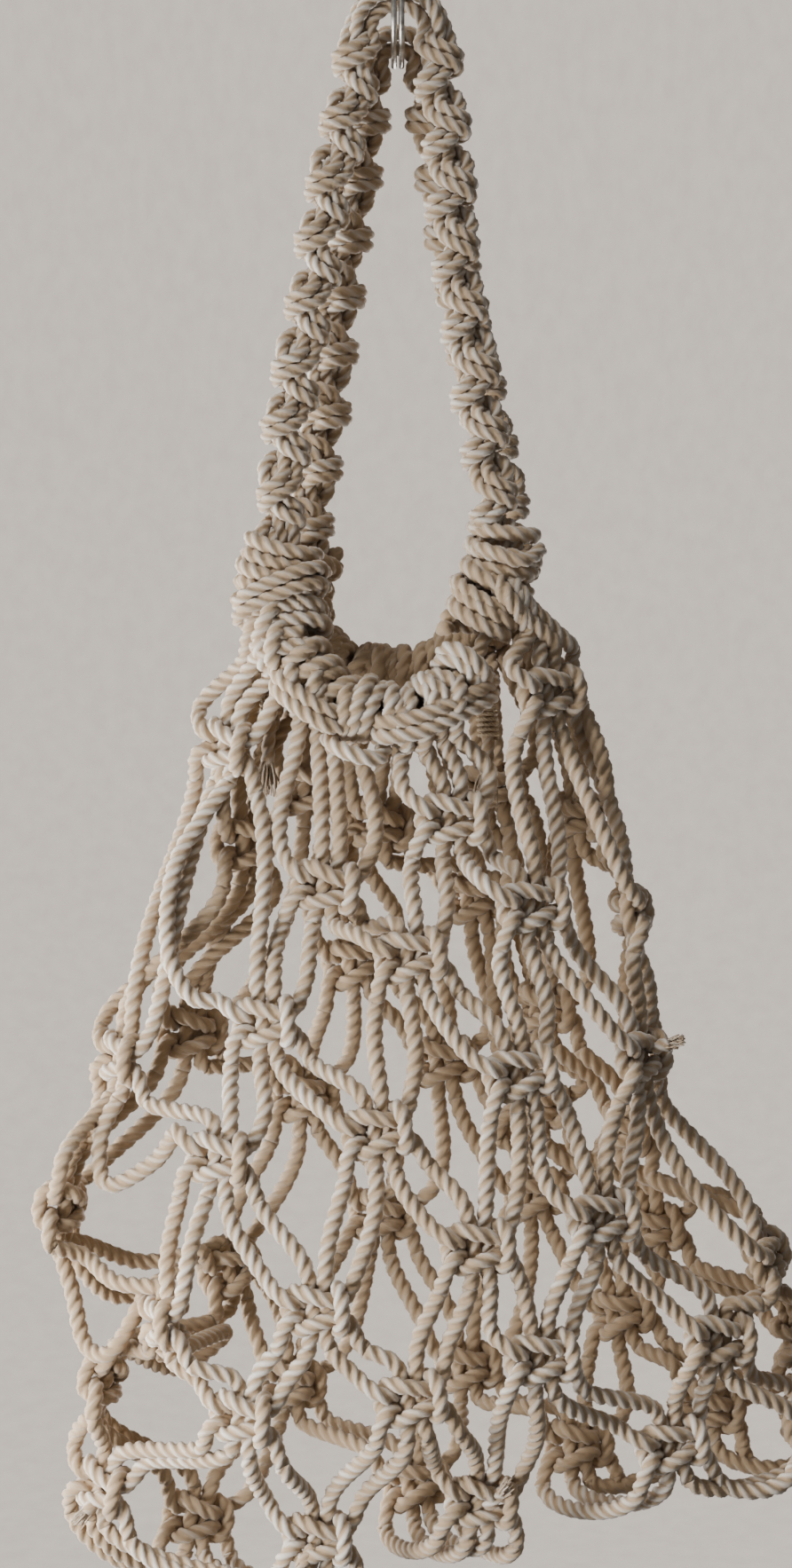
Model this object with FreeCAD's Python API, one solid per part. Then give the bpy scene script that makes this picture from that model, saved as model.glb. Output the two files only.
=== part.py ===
import FreeCAD, Part
import math
import os

from FreeCAD import Vector

# A knotted net bag of cotton rope that hangs by two knotted handles from a pair of steel rings.
# Millimetres, +Z up, front of the bag towards -Y. The origin is the inside top of the rings,
# which is the point that a wall hook or a finger carries.

os.makedirs("parts", exist_ok=True)

# Driving dimensions.
ROPE = 6.0  # diameter of the three-strand cotton rope
RING_INSIDE = 38.0  # clear diameter of each steel ring
RING_WIRE = 2.2  # wire diameter of the rings
RING_PITCH = 2.8  # distance between the planes of the two rings
CROWN_RADIUS = 6.5  # half thickness of a handle where it bends over inside the rings
FRONT_CROWN_BEND = 14.0  # centreline bend of the front handle, the outer of the two
REAR_CROWN_BEND = 10.0  # centreline bend of the rear handle
SINNET_RADIUS = 7.4  # half width of a handle's knotted sinnet
ROOT_BALL = 6.4  # rounded end of a handle, centred on the line it turns about
ROOT_CHAMFER = 1.0  # how far the last hitch above that end draws in
ROOT_TRIM = 99.0  # side of the box that trims the last hitch level with the turning line
RIM_RADIUS = 9.0  # half height of the hitches round the rim cord
WRAP_RADIUS = 10.5  # half width of the doubled wraps that join a handle to the rim
BEAD_CHAMFER = 3.0  # how far the round ends of a hitch draw in
BEAD_GAP = 1.5  # space between one hitch and the next along a handle
RIM_CHAMFER = 4.2  # the same two sizes round the tighter curve of the rim
RIM_GAP = 3.4
KNOT_WIDTH = 26.0  # across the four ropes of a square knot
KNOT_DEPTH = 13.0  # through the net
KNOT_HEIGHT = 14.0  # along the ropes
KNOT_CORNER = 4.5  # rounding of a knot's upright edges
LEG_SPREAD = 6.6  # from a knot's middle to each pair of ropes that leaves it
LEG_RADIUS = ROPE / 2
STUB_SHARE = 0.32  # share of the gap between two knots that a leg runs straight down at each end
STUB_LONGEST = 9.0
ARC_SHARE = 0.45  # share of a run that an arc takes where the run has one at each end
END_ARC_SHARE = 0.9  # the same share on a first or last run, which has only one
LINK_GAP = 2.2  # clearance where a rear leg meets a side knot of the front half
TIE_DROP = 8.0  # how far a base tie hangs under the knots
TIE_GAP = 2.4  # clearance between a tie's front and rear halves
TIE_SPLIT = 0.35  # least share of a crossing tie that each half keeps
SIDE_LIMIT = 4.0  # knots no further back than this belong to the front half
STRAIGHT = math.radians(1)  # a corner that turns less than this is left out
UPRIGHT = 0.9  # least vertical share of an edge's direction for it to count as upright
VOLUME_TOLERANCE = 0.01

# Inside top and middle of the rings.
RING_MIDDLE = -RING_INSIDE / 2

# Handles: the centreline of each sinnet, from the crown down to the line the handle turns about.
FRONT_CROWN = Vector(0, -7.5, -29)
REAR_CROWN = Vector(0, 7, -38)
FRONT_LEFT_SINNET = [
    (-14, -7.5, -30.5), (-17, -8, -52), (-23, -9, -76), (-28, -10, -100), (-31, -11, -123),
    (-36, -12, -147), (-40, -13, -171), (-43, -14, -195), (-44, -14, -217),
]
FRONT_RIGHT_SINNET = [
    (14, -7.5, -30.5), (16, -8, -51), (19, -9, -74), (20.5, -10, -98), (22.5, -11, -122),
    (27, -12, -146), (30, -13, -170), (34, -14, -194), (37, -14, -217),
]
REAR_LEFT_SINNET = [
    (-10, 7, -39.5), (-12.5, 8, -61), (-16, 9, -84), (-19.5, 10, -107), (-22.5, 11, -130),
    (-25.5, 12, -153), (-28.5, 13, -176), (-32, 14, -198), (-34, 14, -217),
]
REAR_RIGHT_SINNET = [
    (10, 7, -39.5), (13, 8, -61), (17, 9, -84), (21, 10, -107), (25, 11, -130),
    (30, 12, -153), (35, 13, -176), (40, 14, -198), (42, 14, -217),
]

# Rim: from the left handle's root, round the swag, to the right handle's root.
FRONT_RIM = [
    (-44, -15, -226), (-44, -17, -246), (-38, -19, -265), (-23, -21, -278), (-6, -22, -285),
    (10, -22, -283), (24, -21, -271), (33, -19, -253), (37, -17, -240), (37, -15, -226),
]
REAR_RIM = [
    (-34, 15, -226), (-37, 17, -244), (-28, 19, -259), (-12, 20, -267), (6, 20, -267),
    (22, 20, -260), (35, 18, -246), (42, 15, -226),
]
FRONT_WRAPS = 2  # spans at each end of the front rim that are doubled joint wraps
REAR_WRAPS = 1

# Net: the middle of each square knot, ring by ring from the mouth down. A ring runs along the
# front from left to right, round the right side, and back along the rear to the left.
# Knot j of a ring takes one pair of ropes from knot j-1 and one from knot j of the ring above.
KNOTS = [
    [(-63, -8, -295), (-26, -20, -347), (20, -22, -322), (56, -14, -275), (68, 10, -322),
     (36, 18, -311), (-6, 22, -325), (-33, 23, -311), (-57, 9, -332)],
    [(-103, 0, -412), (-48, -26, -397), (5, -36, -372), (49, -30, -354), (87, -4, -357),
     (56, 22, -395), (30, 36, -353), (-16, 36, -378), (-78, 20, -404)],
    [(-125, 2, -468), (-65, -32, -446), (-7, -44, -435), (44, -42, -414), (89, -18, -410),
     (87, 18, -441), (54, 36, -433), (18, 44, -417), (-36, 42, -430)],
    [(-64, 40, -497), (-85, -26, -507), (-29, -46, -499), (29, -50, -476), (74, -38, -467),
     (137, -4, -487), (98, 30, -480), (53, 44, -469), (-6, 50, -478)],
    [(-41, 44, -543), (-110, 2, -533), (-56, -40, -539), (5, -48, -531), (52, -42, -517),
     (118, -22, -514), (150, 0, -518), (86, 32, -513), (27, 44, -536)],
    [(7, 24, -577), (-76, 18, -589), (-110, -4, -572), (-29, -22, -587), (31, -24, -573),
     (101, -20, -553), (151, 0, -548), (119, 18, -547), (69, 22, -562)],
]

# Where the first ring's ropes leave the rim: left and right pair of each knot of that ring.
RIM_ENDS = [
    ((-54, -15, -262), (-45, -18, -268)), ((-34, -21, -284), (-22, -22, -291)),
    ((6, -23, -296), (18, -23, -291)), ((51, -17, -253), (60, -14, -257)),
    ((57, 12, -262), (48, 14, -256)), ((38, 18, -262), (26, 20, -271)),
    ((4, 21, -280), (-8, 21, -280)), ((-18, 21, -277), (-30, 19, -271)),
    ((-42, 16, -262), (-50, 14, -262)),
]

# Base: which pairs of the last ring's knots are tied to each other under the bag.
# Each entry is (knot, side), with side -1 for a knot's first pair and 1 for its second.
BASE_TIES = [
    ((2, -1), (1, 1)), ((2, 1), (3, -1)), ((3, 1), (1, -1)), ((4, -1), (0, 1)), ((4, 1), (0, -1)),
    ((5, -1), (8, 1)), ((5, 1), (6, -1)), ((6, 1), (7, -1)), ((7, 1), (8, -1)),
]

# Two rope ends hang inside the mouth, each bound with thread and left frayed.
TAILS = {
    "left": ((-47, -2, -268), (-48, 0, -284), (-49, 0, -303)),
    "right": ((33, 2, -275), (34, 0, -292), (33, 0, -306)),
}
WHIPPING_RADIUS = 4.4
WHIPPING_GAP = 1.2
WHIPPING_CHAMFER = 0.8
FRAY_LENGTH = 10.0
FRAY_RADIUS = 5.5


def bead(start, end, radius, gap=BEAD_GAP, chamfer=BEAD_CHAMFER):
    """A hitch as a short round solid between two points of a cord, drawn in at its ends."""
    a, b = Vector(*start), Vector(*end)
    length = (b - a).Length - gap
    outline = [
        Vector(0, 0, 0), Vector(radius - chamfer, 0, 0), Vector(radius, 0, chamfer),
        Vector(radius, 0, length - chamfer), Vector(radius - chamfer, 0, length),
        Vector(0, 0, length), Vector(0, 0, 0),
    ]
    solid = Part.Face(Part.makePolygon(outline)).revolve(Vector(), Vector(0, 0, 1), 360)
    direction = (b - a).normalize()
    solid.Placement = FreeCAD.Placement(
        a + direction * (gap / 2), FreeCAD.Rotation(Vector(0, 0, 1), direction)
    )
    return solid


def beads(points, radius, gap=BEAD_GAP, chamfer=BEAD_CHAMFER):
    return [bead(a, b, radius, gap, chamfer) for a, b in zip(points, points[1:])]


def tube(points, radius=LEG_RADIUS):
    """A rope along straight runs joined by arcs that touch both runs."""
    corners = [Vector(*p) for p in points]
    edges = []
    at = corners[0]
    length = 0.0
    for before, corner, after in zip(corners, corners[1:], corners[2:]):
        back = (before - corner).normalize()
        ahead = (after - corner).normalize()
        turn = math.pi - back.getAngle(ahead)
        if turn < STRAIGHT:
            continue
        share_back = END_ARC_SHARE if before is corners[0] else ARC_SHARE
        share_ahead = END_ARC_SHARE if after is corners[-1] else ARC_SHARE
        reach = min(share_back * (before - corner).Length, share_ahead * (after - corner).Length)
        bend = reach / math.tan(turn / 2)
        if bend < radius:
            print("a rope bends at", corner, "to a radius of only", bend)
        start = corner + back * reach
        end = corner + ahead * reach
        middle = corner + (back + ahead).normalize() * (bend / math.cos(turn / 2) - bend)
        edges.append(Part.LineSegment(at, start).toShape())
        edges.append(Part.Arc(start, middle, end).toShape())
        length += (start - at).Length + bend * turn
        at = end
    edges.append(Part.LineSegment(at, corners[-1]).toShape())
    length += (corners[-1] - at).Length
    path = Part.Wire(edges)
    circle = Part.Circle(corners[0], (corners[1] - corners[0]).normalize(), radius)
    solid = path.makePipeShell([Part.Wire(circle.toShape())], True, False)
    expected = math.pi * radius**2 * length
    if abs(solid.Volume - expected) > VOLUME_TOLERANCE * expected:
        print("a rope at", corners[0], "has volume", solid.Volume, "and not", expected)
    return solid


def export(name, solids):
    shape = solids[0] if len(solids) == 1 else Part.makeCompound(solids)
    shape.exportStep(f"parts/{name}.step")


def make_rings():
    major = RING_INSIDE / 2 + RING_WIRE / 2
    for name, side in (("left", -1), ("right", 1)):
        middle = Vector(side * RING_PITCH / 2, 0, RING_MIDDLE)
        ring = Part.makeTorus(major, RING_WIRE / 2, middle, Vector(1, 0, 0))
        export(f"hang_ring_{name}", [ring])


def make_handle(name, crown, bend, left, right):
    """A handle is a bent crown inside the rings and two sinnets that hang from it."""
    start = crown - Vector(bend, 0, 0)
    path = Part.Wire(Part.Arc(start, crown + Vector(0, 0, bend), crown + Vector(bend, 0, 0)).toShape())
    section = Part.Wire(Part.Circle(start, Vector(0, 0, 1), CROWN_RADIUS).toShape())
    export(f"{name}_crown", [path.makePipeShell([section], True, False)])
    for side, points in (("left", left), ("right", right)):
        ball = Part.makeSphere(ROOT_BALL, Vector(*points[-1]))
        last = bead(points[-2], points[-1], SINNET_RADIUS, 0, ROOT_CHAMFER)
        below = Vector(*points[-1]) - Vector(ROOT_TRIM / 2, ROOT_TRIM / 2, ROOT_TRIM)
        trim = Part.makeBox(ROOT_TRIM, ROOT_TRIM, ROOT_TRIM, below)
        root = last.cut(trim).fuse(ball).removeSplitter()
        export(f"{name}_{side}_sinnet", beads(points[:-1], SINNET_RADIUS) + root.Solids)


def make_rim(name, points, wraps):
    stretches = {
        "left_joint_wraps": (points[: wraps + 1], WRAP_RADIUS),
        "rim_hitches": (points[wraps:-wraps], RIM_RADIUS),
        "right_joint_wraps": (points[-wraps - 1 :], WRAP_RADIUS),
    }
    for stretch, (places, radius) in stretches.items():
        export(f"{name}_{stretch}", beads(places, radius, RIM_GAP, RIM_CHAMFER))


def across(ring, j):
    """The level direction along the net at a knot, from the knot before it to the one after."""
    before = Vector(*ring[j - 1])
    after = Vector(*ring[(j + 1) % len(ring)])
    direction = after - before
    direction.z = 0
    return direction.normalize()


def pair_end(ring, j, side, end):
    """Where a pair of ropes leaves a knot: side -1 or 1 along the net, end 1 on top, -1 below."""
    return Vector(*ring[j]) + across(ring, j) * (side * LEG_SPREAD) + Vector(0, 0, end * KNOT_HEIGHT / 2)


def half_of(knot):
    return "front" if knot[1] <= SIDE_LIMIT else "rear"


def square_knot(ring, j):
    direction = across(ring, j)
    block = Part.makeBox(KNOT_WIDTH, KNOT_DEPTH, KNOT_HEIGHT)
    block.translate(Vector(-KNOT_WIDTH / 2, -KNOT_DEPTH / 2, -KNOT_HEIGHT / 2))
    upright = [e for e in block.Edges if abs(e.tangentAt(e.FirstParameter).z) > UPRIGHT]
    block = block.makeFillet(KNOT_CORNER, upright)
    block.Placement = FreeCAD.Placement(
        Vector(*ring[j]), FreeCAD.Rotation(Vector(1, 0, 0), direction)
    )
    return block


def leg(top, bottom):
    """A pair of ropes between two knots, straight down out of one and straight down into the other."""
    stub = Vector(0, 0, min(STUB_LONGEST, STUB_SHARE * (top.z - bottom.z)))
    return tube([top, top - stub, bottom + stub, bottom])


def make_net():
    for r, ring in enumerate(KNOTS):
        knots = {"front": [], "rear": []}
        legs = {"front": [], "rear": []}
        for j, knot in enumerate(ring):
            half = half_of(knot)
            knots[half].append(square_knot(ring, j))
            for side, upper in ((-1, j - 1), (1, j)):
                bottom = pair_end(ring, j, side, 1)
                if r == 0:
                    top = Vector(*RIM_ENDS[j][0 if side < 0 else 1])
                    owner = half
                else:
                    above = KNOTS[r - 1]
                    top = pair_end(above, upper, -side, -1)
                    owner = half if half_of(above[upper]) == half else "rear"
                    if owner != half_of(above[upper]):
                        top.z -= LINK_GAP
                    if owner != half:
                        bottom.z += LINK_GAP
                legs[owner].append(leg(top, bottom))
        for half in ("front", "rear"):
            export(f"{half}_knots_row_{r + 1}", knots[half])
            export(f"{half}_legs_row_{r + 1}", legs[half])


def make_base():
    """Ties join the last ring's knots under the bag. One that crosses from front to rear is in two halves."""
    ring = KNOTS[-1]
    halves = {"front": [], "rear": []}
    drop = Vector(0, 0, TIE_DROP)
    for (j, side), (k, other) in BASE_TIES:
        start = pair_end(ring, j, side, -1)
        end = pair_end(ring, k, other, -1)
        own, far = half_of(ring[j]), half_of(ring[k])
        if own == far:
            halves[own].append(tube([start, start - drop, end - drop, end]))
            continue
        run = (end - start).normalize()
        share = min(max(-start.y / (end.y - start.y), TIE_SPLIT), 1 - TIE_SPLIT)
        middle = start - drop + (end - start) * share
        halves[own].append(tube([start, start - drop, middle - run * (TIE_GAP / 2)]))
        halves[far].append(tube([end, end - drop, middle + run * (TIE_GAP / 2)]))
    for half, ties in halves.items():
        export(f"{half}_base_ties", ties)


def make_tails():
    for name, (top, bound, end) in TAILS.items():
        whipping = bead(top, bound, WHIPPING_RADIUS, WHIPPING_GAP, WHIPPING_CHAMFER)
        export(f"{name}_thread_whipping", [whipping])
        along = Vector(*end) - Vector(*bound)
        fray = Part.makeCone(LEG_RADIUS, FRAY_RADIUS, FRAY_LENGTH, Vector(*end), along)
        export(f"{name}_frayed_tail", [tube([bound, end]), fray])


make_rings()
make_handle("front", FRONT_CROWN, FRONT_CROWN_BEND, FRONT_LEFT_SINNET, FRONT_RIGHT_SINNET)
make_handle("rear", REAR_CROWN, REAR_CROWN_BEND, REAR_LEFT_SINNET, REAR_RIGHT_SINNET)
make_rim("front", FRONT_RIM, FRONT_WRAPS)
make_rim("rear", REAR_RIM, REAR_WRAPS)
make_net()
make_base()
make_tails()
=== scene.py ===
import math

import bpy
import numpy as np
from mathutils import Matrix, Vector


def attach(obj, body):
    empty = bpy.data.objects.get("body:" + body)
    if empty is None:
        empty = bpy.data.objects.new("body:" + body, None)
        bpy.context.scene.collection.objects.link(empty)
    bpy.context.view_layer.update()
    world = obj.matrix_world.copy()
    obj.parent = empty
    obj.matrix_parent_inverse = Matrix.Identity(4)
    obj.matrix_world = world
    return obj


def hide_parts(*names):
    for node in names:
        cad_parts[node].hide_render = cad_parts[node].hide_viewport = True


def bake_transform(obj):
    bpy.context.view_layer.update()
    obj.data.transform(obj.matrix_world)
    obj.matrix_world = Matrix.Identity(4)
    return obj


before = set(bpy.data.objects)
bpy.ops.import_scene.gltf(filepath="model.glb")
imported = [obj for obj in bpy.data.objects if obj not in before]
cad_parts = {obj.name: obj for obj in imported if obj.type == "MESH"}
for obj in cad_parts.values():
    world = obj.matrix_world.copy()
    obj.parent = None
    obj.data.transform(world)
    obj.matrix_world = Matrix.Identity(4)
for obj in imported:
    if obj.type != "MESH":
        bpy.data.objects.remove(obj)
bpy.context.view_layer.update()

MM = 0.001
UP = np.array([0.0, 0.0, 1.0])
rng = np.random.default_rng(7)

# ---------------------------------------------------------------- camera
CAMERA_AT = (-0.67, -1200.0, -309.2)
SEEN_HEIGHT = 589.0  # what the frame's long side spans at y = 0
camera_data = bpy.data.cameras.new("camera")
camera_data.sensor_width = 36.0
camera_data.lens = 36.0 * -CAMERA_AT[1] / SEEN_HEIGHT
camera = bpy.data.objects.new("camera", camera_data)
camera.location = Vector(CAMERA_AT) * MM
camera.rotation_euler = (math.radians(90), 0, 0)
bpy.context.scene.collection.objects.link(camera)
bpy.context.scene.camera = camera

# ---------------------------------------------------------------- the CAD part's own points, in mm
ROPE = 6.0
FRONT_CROWN, FRONT_BEND = (0, -7.5, -29), 14.0
REAR_CROWN, REAR_BEND = (0, 7, -38), 10.0
FRONT_LEFT_SINNET = [
    (-14, -7.5, -30.5), (-17, -8, -52), (-23, -9, -76), (-28, -10, -100), (-31, -11, -123),
    (-36, -12, -147), (-40, -13, -171), (-43, -14, -195), (-44, -14, -217),
]
FRONT_RIGHT_SINNET = [
    (14, -7.5, -30.5), (16, -8, -51), (19, -9, -74), (20.5, -10, -98), (22.5, -11, -122),
    (27, -12, -146), (30, -13, -170), (34, -14, -194), (37, -14, -217),
]
REAR_LEFT_SINNET = [
    (-10, 7, -39.5), (-12.5, 8, -61), (-16, 9, -84), (-19.5, 10, -107), (-22.5, 11, -130),
    (-25.5, 12, -153), (-28.5, 13, -176), (-32, 14, -198), (-34, 14, -217),
]
REAR_RIGHT_SINNET = [
    (10, 7, -39.5), (13, 8, -61), (17, 9, -84), (21, 10, -107), (25, 11, -130),
    (30, 12, -153), (35, 13, -176), (40, 14, -198), (42, 14, -217),
]
FRONT_RIM = [
    (-44, -15, -226), (-44, -17, -246), (-38, -19, -265), (-23, -21, -278), (-6, -22, -285),
    (10, -22, -283), (24, -21, -271), (33, -19, -253), (37, -17, -240), (37, -15, -226),
]
REAR_RIM = [
    (-34, 15, -226), (-37, 17, -244), (-28, 19, -259), (-12, 20, -267), (6, 20, -267),
    (22, 20, -260), (35, 18, -246), (42, 15, -226),
]
KNOTS = [
    [(-63, -8, -295), (-26, -20, -347), (20, -22, -322), (56, -14, -275), (68, 10, -322),
     (36, 18, -311), (-6, 22, -325), (-33, 23, -311), (-57, 9, -332)],
    [(-103, 0, -412), (-48, -26, -397), (5, -36, -372), (49, -30, -354), (87, -4, -357),
     (56, 22, -395), (30, 36, -353), (-16, 36, -378), (-78, 20, -404)],
    [(-125, 2, -468), (-65, -32, -446), (-7, -44, -435), (44, -42, -414), (89, -18, -410),
     (87, 18, -441), (54, 36, -433), (18, 44, -417), (-36, 42, -430)],
    [(-64, 40, -497), (-85, -26, -507), (-29, -46, -499), (29, -50, -476), (74, -38, -467),
     (137, -4, -487), (98, 30, -480), (53, 44, -469), (-6, 50, -478)],
    [(-41, 44, -543), (-110, 2, -533), (-56, -40, -539), (5, -48, -531), (52, -42, -517),
     (118, -22, -514), (150, 0, -518), (86, 32, -513), (27, 44, -536)],
    [(7, 24, -577), (-76, 18, -589), (-110, -4, -572), (-29, -22, -587), (31, -24, -573),
     (101, -20, -553), (151, 0, -548), (119, 18, -547), (69, 22, -562)],
]
RIM_ENDS = [
    ((-54, -15, -262), (-45, -18, -268)), ((-34, -21, -284), (-22, -22, -291)),
    ((6, -23, -296), (18, -23, -291)), ((51, -17, -253), (60, -14, -257)),
    ((57, 12, -262), (48, 14, -256)), ((38, 18, -262), (26, 20, -271)),
    ((4, 21, -280), (-8, 21, -280)), ((-18, 21, -277), (-30, 19, -271)),
    ((-42, 16, -262), (-50, 14, -262)),
]
RINGS, PER_RING = len(KNOTS), len(KNOTS[0])
BASE_TIES = [
    ((2, -1), (1, 1)), ((2, 1), (3, -1)), ((3, 1), (1, -1)), ((4, -1), (0, 1)), ((4, 1), (0, -1)),
    ((5, -1), (8, 1)), ((5, 1), (6, -1)), ((6, 1), (7, -1)), ((7, 1), (8, -1)),
]
TAILS = {
    "left": ((-47, -2, -268), (-48, 0, -284), (-49, 0, -303)),
    "right": ((33, 2, -275), (34, 0, -292), (33, 0, -306)),
}
SIDE_LIMIT = 4.0  # a knot whose y is above this belongs to the rear half


# ---------------------------------------------------------------- lines
def unit(v):
    v = np.asarray(v, float)
    return v / np.linalg.norm(v)


def resample(line, step):
    seg = np.linalg.norm(np.diff(line, axis=0), axis=1)
    s = np.concatenate([[0], np.cumsum(seg)])
    at = np.linspace(0, s[-1], max(3, int(round(s[-1] / step)) + 1))
    return np.stack([np.interp(at, s, line[:, k]) for k in range(3)], 1)


def spline(points, step=1.5):
    """A smooth line through the points, evenly sampled."""
    p = np.asarray(points, float)
    ext = np.vstack([2 * p[0] - p[1], p, 2 * p[-1] - p[-2]])
    t = np.linspace(0, 1, 12, endpoint=False)[:, None]
    out = []
    for i in range(len(p) - 1):
        a, b, c, d = ext[i:i + 4]
        out.append(0.5 * (2 * b + (c - a) * t + (2 * a - 5 * b + 4 * c - d) * t**2
                          + (3 * b - a - 3 * c + d) * t**3))
    return resample(np.vstack(out + [p[-1:]]), step)


def bezier(a, da, db, b, step=1.5):
    t = np.linspace(0, 1, 40)[:, None]
    line = (a * (1 - t)**3 + 3 * (a + da) * t * (1 - t)**2 + 3 * (b + db) * t**2 * (1 - t) + b * t**3)
    return resample(line, step)


def evened(line, times):
    line = line.copy()
    for _ in range(times):
        line[1:-1] += 0.5 * (0.5 * (line[:-2] + line[2:]) - line[1:-1])
    return line


def relax(lines, pins, gap, steps, shrink, stiff, near):
    """Pushes ropes that touch apart, pulls their slack in, and evens out their bends."""
    x = np.vstack(lines)
    sizes = [len(k) for k in lines]
    owner = np.repeat(np.arange(len(lines)), sizes)
    local = np.concatenate([np.arange(n) for n in sizes])
    start = np.cumsum([0] + sizes)
    free = np.ones(len(x))
    for i, pin in enumerate(pins):
        free[start[i] + np.asarray(pin)] = 0
    free = free[:, None]
    a = np.concatenate([np.arange(start[i], start[i + 1] - 1) for i in range(len(lines))])
    b = a + 1
    m = np.concatenate([np.arange(start[i] + 1, start[i + 1] - 1) for i in range(len(lines))])
    rest = np.linalg.norm(x[b] - x[a], axis=1)
    same = (owner[:, None] == owner[None]) & (np.abs(local[:, None] - local[None]) <= near)
    for it in range(steps):
        length = rest * (1 - (1 - shrink) * min(1, it / (0.6 * steps)))
        d = x[:, None] - x[None]
        dist = np.sqrt((d**2).sum(-1))
        hit = (dist < gap) & ~same
        push = np.where(hit, (gap - dist) / np.maximum(dist, 1e-6), 0)[..., None] * d * 0.5
        x = x + push.sum(1) / np.maximum(hit.sum(1), 1)[:, None] * 1.6 * free
        for _ in range(3):
            dv = x[b] - x[a]
            now = np.linalg.norm(dv, axis=1)
            c = ((now - length) / np.maximum(now, 1e-9))[:, None] * dv * 0.3
            x[a] += c * free[a]
            x[b] -= c * free[b]
        x[m] += (0.5 * (x[m - 1] + x[m + 1]) - x[m]) * stiff * free[m]
    return [x[start[i]:start[i + 1]] for i in range(len(lines))]


# ---------------------------------------------------------------- rope surface
PLY_RADIUS, PLY_OFFSET = 1.78, 1.22  # three plies make the rope's 6 mm
LAY = 15.5  # one turn of a ply
AROUND = 18  # points round a rope
RING_STEP = 1.6  # from one ring of points to the next
phi = np.arange(AROUND) * 2 * math.pi / AROUND
lobe = (phi + math.pi / 3) % (2 * math.pi / 3) - math.pi / 3
SECTION = PLY_OFFSET * np.cos(lobe) + np.sqrt(PLY_RADIUS**2 - (PLY_OFFSET * np.sin(lobe))**2)
# painted shade: 0 on the top of a ply and 1 deep in the crease between plies; it darkens the cotton
# there
CREASE_SHADE = (ROPE / 2 - SECTION) / (ROPE / 2 - SECTION.min())


def frames(line):
    """Tangents and a pair of cross directions that don't spin along the line."""
    t = np.gradient(line, axis=0)
    t /= np.linalg.norm(t, axis=1)[:, None]
    n = np.empty_like(t)
    first = np.cross(t[0], [0.31, 0.52, 0.79])
    n[0] = first / np.linalg.norm(first)
    for i in range(1, len(t)):
        v = n[i - 1] - t[i] * np.dot(n[i - 1], t[i])
        n[i] = v / math.sqrt(np.dot(v, v))
    return t, n, np.cross(t, n)


class Ropes:
    """Gathers ropes into one mesh."""

    def __init__(self):
        self.co, self.faces, self.rope, self.tone, self.crease_shade = [], [], [], [], []
        self.count = 0

    def add(self, line, thick, along, tone, dirs, twist):
        """thick and along: the rope's radius share and the length so far, at each point of the line."""
        n, b = dirs
        k = len(line)
        angle = phi[None] + twist[:, None]
        r = SECTION[None] * thick[:, None]
        co = (line[:, None] + n[:, None] * (r * np.cos(angle))[..., None]
              + b[:, None] * (r * np.sin(angle))[..., None])
        self.co.append(co.reshape(-1, 3))
        place = np.broadcast_arrays(
            ROPE / 2 * np.cos(phi)[None], ROPE / 2 * np.sin(phi)[None], along[:, None])
        self.rope.append(np.stack(place, -1).reshape(-1, 3))
        self.tone.append(np.full(k * AROUND, tone))
        self.crease_shade.append(np.tile(CREASE_SHADE, k))
        i = np.arange(k - 1)[:, None] * AROUND
        j = np.arange(AROUND)[None]
        q = (j + 1) % AROUND
        quads = np.stack([i + j, i + q, i + AROUND + q, i + AROUND + j], -1).reshape(-1, 4)
        self.faces.append(("quad", quads + self.count))
        caps = np.stack([np.arange(AROUND)[::-1], np.arange(AROUND) + (k - 1) * AROUND])
        self.faces.append(("cap", caps + self.count))
        self.count += k * AROUND

    def build(self, name, material):
        co = np.vstack(self.co) * MM
        quads = np.vstack([f for kind, f in self.faces if kind == "quad"])
        caps = np.vstack([f for kind, f in self.faces if kind == "cap"])
        mesh = bpy.data.meshes.new(name)
        mesh.vertices.add(len(co))
        mesh.vertices.foreach_set("co", co.astype(np.float32).ravel())
        loops = np.concatenate([quads.ravel(), caps.ravel()]).astype(np.int32)
        mesh.loops.add(len(loops))
        mesh.loops.foreach_set("vertex_index", loops)
        totals = np.concatenate([np.full(len(quads), 4), np.full(len(caps), AROUND)])
        starts = np.concatenate([[0], np.cumsum(totals)[:-1]])
        mesh.polygons.add(len(totals))
        mesh.polygons.foreach_set("loop_start", starts.astype(np.int32))
        mesh.update(calc_edges=True)
        mesh.polygons.foreach_set("use_smooth", np.ones(len(totals), bool))
        place = mesh.attributes.new("rope", "FLOAT_VECTOR", "POINT")
        place.data.foreach_set("vector", np.vstack(self.rope).astype(np.float32).ravel())
        for key, values in (("tone", self.tone), ("crease_shade", self.crease_shade)):
            attribute = mesh.attributes.new(key, "FLOAT", "POINT")
            attribute.data.foreach_set("value", np.concatenate(values).astype(np.float32))
        mesh.materials.append(material)
        piece = bpy.data.objects.new(name, mesh)
        bpy.context.scene.collection.objects.link(piece)
        return piece


def rope_parts(line, thick=None, step=RING_STEP, lay=LAY, size=1.0):
    """Everything Ropes.add needs for one rope, evenly sampled."""
    old = np.concatenate([[0], np.cumsum(np.linalg.norm(np.diff(line, axis=0), axis=1))])
    line = resample(line, step)
    s = np.linspace(0, old[-1], len(line))
    share = np.full(len(line), size) if thick is None else np.interp(s, old, thick) * size
    _, n, b = frames(line)
    phase = rng.uniform(0, 2 * math.pi)
    return line, share, s + rng.uniform(0, 900), (n, b), s * 2 * math.pi / lay + phase


# ---------------------------------------------------------------- materials
def material(name, build):
    m = bpy.data.materials.new(name)
    m.use_nodes = True
    build(m.node_tree, m.node_tree.nodes["Principled BSDF"])
    return m


def node(tree, kind, **inputs):
    made_node = tree.nodes.new("ShaderNode" + kind)
    for key, value in inputs.items():
        made_node.inputs[key.replace("_", " ")].default_value = value
    return made_node


def attribute(tree, name, output):
    made_node = node(tree, "Attribute")
    made_node.attribute_name = name
    return made_node.outputs[output]


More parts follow.
